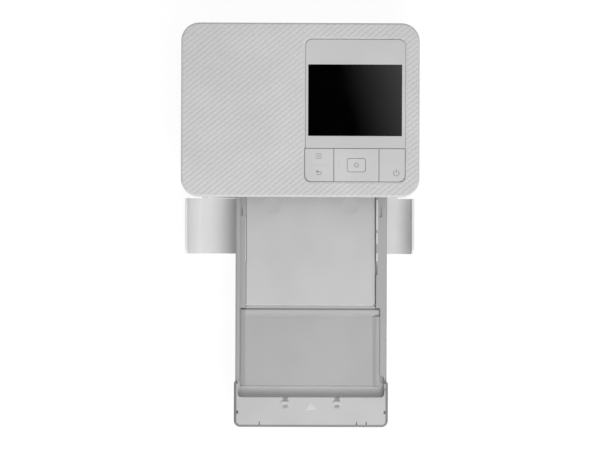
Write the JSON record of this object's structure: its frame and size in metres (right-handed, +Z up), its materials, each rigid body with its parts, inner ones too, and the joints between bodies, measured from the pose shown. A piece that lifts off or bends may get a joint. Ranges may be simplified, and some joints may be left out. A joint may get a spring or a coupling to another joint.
{
  "type": "compact photo printer",
  "caption": "Compact dye-sublimation photo printer with a fold-down front door, a slide-in paper cassette, a hinged ribbon door, a screen and keys on top.",
  "frame": {"origin": "centre of the footprint of the printer with its cassette in, on the table plane", "axes": "+Y from the printer's front to its back, +Z up, +X to the right seen from the front"},
  "size_m": [0.1822, 0.3114, 0.0576],
  "materials": {
    "case_plastic": "fine matt grain",
    "lid_plastic": "fine twill-like relief, matt",
    "tray_plastic": "fine matt grain",
    "clear_plastic": "frosted, slightly smoky",
    "black_gloss": "polished black",
    "dark_plastic": "matt black",
    "gear_plastic": "smooth natural acetal",
    "rubber": "matt rubber",
    "steel": "zinc-plated and ground steel",
    "brass": "machined brass",
    "aluminium": "extruded aluminium",
    "ceramic": "glazed ceramic",
    "circuit_board": "green solder resist",
    "ribbon_dye": "dyed film"
  },
  "bodies": {
    "case": {"bottom_case": "case_plastic", "top_cover": "lid_plastic", "front_frame": "case_plastic", "door_hinge_pins": "steel", "ribbon_door_pin": "steel", "display_bezel": "case_plastic", "display_window": "black_gloss", "display_module": "dark_plastic", "key_board": "circuit_board", "dome_switches": "steel", "main_board": "circuit_board", "board_chips": "dark_plastic", "card_socket": "steel", "power_board": "circuit_board", "power_inlet": "dark_plastic", "usb_socket": "steel", "left_side_plate": "steel", "right_side_plate": "steel", "cassette_guides": "dark_plastic", "idler_stud": "steel", "stepper_motor": "steel", "motor_bracket": "steel", "head_pivot_shaft": "steel", "ribbon_cartridge": "dark_plastic", "ribbon_film": "ribbon_dye", "rubber_feet": "rubber", "case_screws": "steel"},
    "cassette": {"cassette_tray": "tray_plastic", "cassette_near_cover": "tray_plastic", "cassette_lock_tabs": "tray_plastic"},
    "far_cover": {"cassette_far_cover": "clear_plastic"},
    "front_door": {"front_door": "case_plastic"},
    "ribbon_door": {"ribbon_door": "case_plastic"},
    "menu_back_key": {"menu_back_key": "case_plastic"},
    "nav_tilt": {"nav_tilt_plate": "dark_plastic"},
    "nav_pad": {"nav_pad": "case_plastic"},
    "ok_button": {"ok_button": "case_plastic"},
    "power_key": {"power_key": "case_plastic"},
    "platen": {"platen_shaft": "steel", "platen_rubber": "rubber", "platen_gear": "gear_plastic"},
    "capstan": {"capstan_shaft": "steel", "capstan_gear": "gear_plastic"},
    "pinch": {"pinch_roller": "rubber"},
    "idler": {"idler_gear": "gear_plastic"},
    "motor_shaft": {"motor_pinion": "brass"},
    "pickup_drive": {"pickup_drive_shaft": "steel", "pickup_drive_gear": "gear_plastic"},
    "pickup_arm": {"pickup_arm": "dark_plastic", "pickup_belt": "rubber"},
    "pickup_roller": {"pickup_roller_shaft": "steel", "pickup_tyres": "rubber"},
    "print_head": {"head_frame": "steel", "head_heat_sink": "aluminium", "thermal_bar": "ceramic"},
    "takeup_spool": {"ribbon_takeup_spool": "ribbon_dye", "takeup_spindle": "gear_plastic"},
    "supply_spool": {"ribbon_supply_spool": "ribbon_dye", "supply_spindle": "gear_plastic"}
  },
  "joints": [
    {"name": "cassette_slide", "type": "slide", "parent": "case", "child": "cassette", "axis": [0, -1, 0], "range_m": [0, 0.349]},
    {"name": "front_door_hinge", "type": "hinge", "parent": "case", "child": "front_door", "pos_m": [0, 0.0253, 0.0036], "axis": [-1, 0, 0], "range_deg": [0, 90]},
    {"name": "far_cover_hinge", "type": "hinge", "parent": "cassette", "child": "far_cover", "pos_m": [0.009, -0.0655, 0.0319], "axis": [-1, 0, 0], "range_deg": [0, 100]},
    {"name": "ribbon_door_hinge", "type": "hinge", "parent": "case", "child": "ribbon_door", "pos_m": [0.0891, 0.0997, 0.01], "axis": [0, 1, 0], "range_deg": [0, 90]},
    {"name": "menu_back_rock", "type": "hinge", "parent": "case", "child": "menu_back_key", "pos_m": [0.0145, 0.0471, 0.0533], "axis": [1, 0, 0], "range_deg": [-2.2, 2.2], "stiffness_Nm_per_rad": 0.25},
    {"name": "nav_tilt_front_back", "type": "hinge", "parent": "case", "child": "nav_tilt", "pos_m": [0.04285, 0.0471, 0.0534], "axis": [1, 0, 0], "range_deg": [-2, 2], "stiffness_Nm_per_rad": 0.25},
    {"name": "nav_tilt_left_right", "type": "hinge", "parent": "nav_tilt", "child": "nav_pad", "pos_m": [0.04285, 0.0471, 0.0534], "axis": [0, 1, 0], "range_deg": [-2, 2], "stiffness_Nm_per_rad": 0.25},
    {"name": "ok_press", "type": "slide", "parent": "nav_pad", "child": "ok_button", "axis": [0, 0, -1], "range_m": [0, 0.0005], "stiffness_N_per_m": 2000, "springref_m": -0.0002},
    {"name": "power_press", "type": "slide", "parent": "case", "child": "power_key", "axis": [0, 0, -1], "range_m": [0, 0.0005], "stiffness_N_per_m": 2000, "springref_m": -0.0002},
    {"name": "platen_spin", "type": "hinge", "parent": "case", "child": "platen", "pos_m": [0.009, 0.0987, 0.024], "axis": [1, 0, 0], "continuous": true},
    {"name": "capstan_spin", "type": "hinge", "parent": "case", "child": "capstan", "pos_m": [0.009, 0.06283, 0.027], "axis": [1, 0, 0], "continuous": true},
    {"name": "pinch_spin", "type": "hinge", "parent": "case", "child": "pinch", "pos_m": [0.009, 0.06283, 0.0347], "axis": [1, 0, 0], "continuous": true},
    {"name": "idler_spin", "type": "hinge", "parent": "case", "child": "idler", "pos_m": [0.009, 0.08012, 0.01777], "axis": [1, 0, 0], "continuous": true},
    {"name": "motor_spin", "type": "hinge", "parent": "case", "child": "motor_shaft", "pos_m": [0.009, 0.11004, 0.01449], "axis": [1, 0, 0], "continuous": true},
    {"name": "pickup_drive_spin", "type": "hinge", "parent": "case", "child": "pickup_drive", "pos_m": [0.009, 0.05083, 0.03566], "axis": [1, 0, 0], "continuous": true},
    {"name": "pickup_swing", "type": "hinge", "parent": "case", "child": "pickup_arm", "pos_m": [0.009, 0.05083, 0.03566], "axis": [1, 0, 0], "range_deg": [0, 9], "stiffness_Nm_per_rad": 0.01, "springref_deg": -20.05},
    {"name": "pickup_spin", "type": "hinge", "parent": "pickup_arm", "child": "pickup_roller", "pos_m": [0.009, 0.0357, 0.0405], "axis": [1, 0, 0], "continuous": true},
    {"name": "head_lift", "type": "hinge", "parent": "case", "child": "print_head", "pos_m": [0.009, 0.1372, 0.044], "axis": [-1, 0, 0], "range_deg": [0, 2.5]},
    {"name": "takeup_spin", "type": "hinge", "parent": "case", "child": "takeup_spool", "pos_m": [0.009, 0.07473, 0.0405], "axis": [1, 0, 0], "continuous": true},
    {"name": "supply_spin", "type": "hinge", "parent": "case", "child": "supply_spool", "pos_m": [0.009, 0.1235, 0.0405], "axis": [1, 0, 0], "continuous": true}
  ],
  "couplings": [
    {"joint": "front_door_hinge", "follows": "cassette_slide", "rad_per_m": 4.5},
    {"joint": "capstan_spin", "follows": "platen_spin", "ratio": 1},
    {"joint": "idler_spin", "follows": "platen_spin", "ratio": -1.0417},
    {"joint": "motor_spin", "follows": "platen_spin", "ratio": -2.0833},
    {"joint": "takeup_spin", "follows": "platen_spin", "ratio": -1.25},
    {"joint": "pickup_drive_spin", "follows": "platen_spin", "ratio": -2.0833},
    {"joint": "pickup_spin", "follows": "platen_spin", "ratio": -2.0833},
    {"joint": "pinch_spin", "follows": "platen_spin", "ratio": -1.1429},
    {"joint": "supply_spin", "follows": "platen_spin", "ratio": -0.94697}
  ]
}
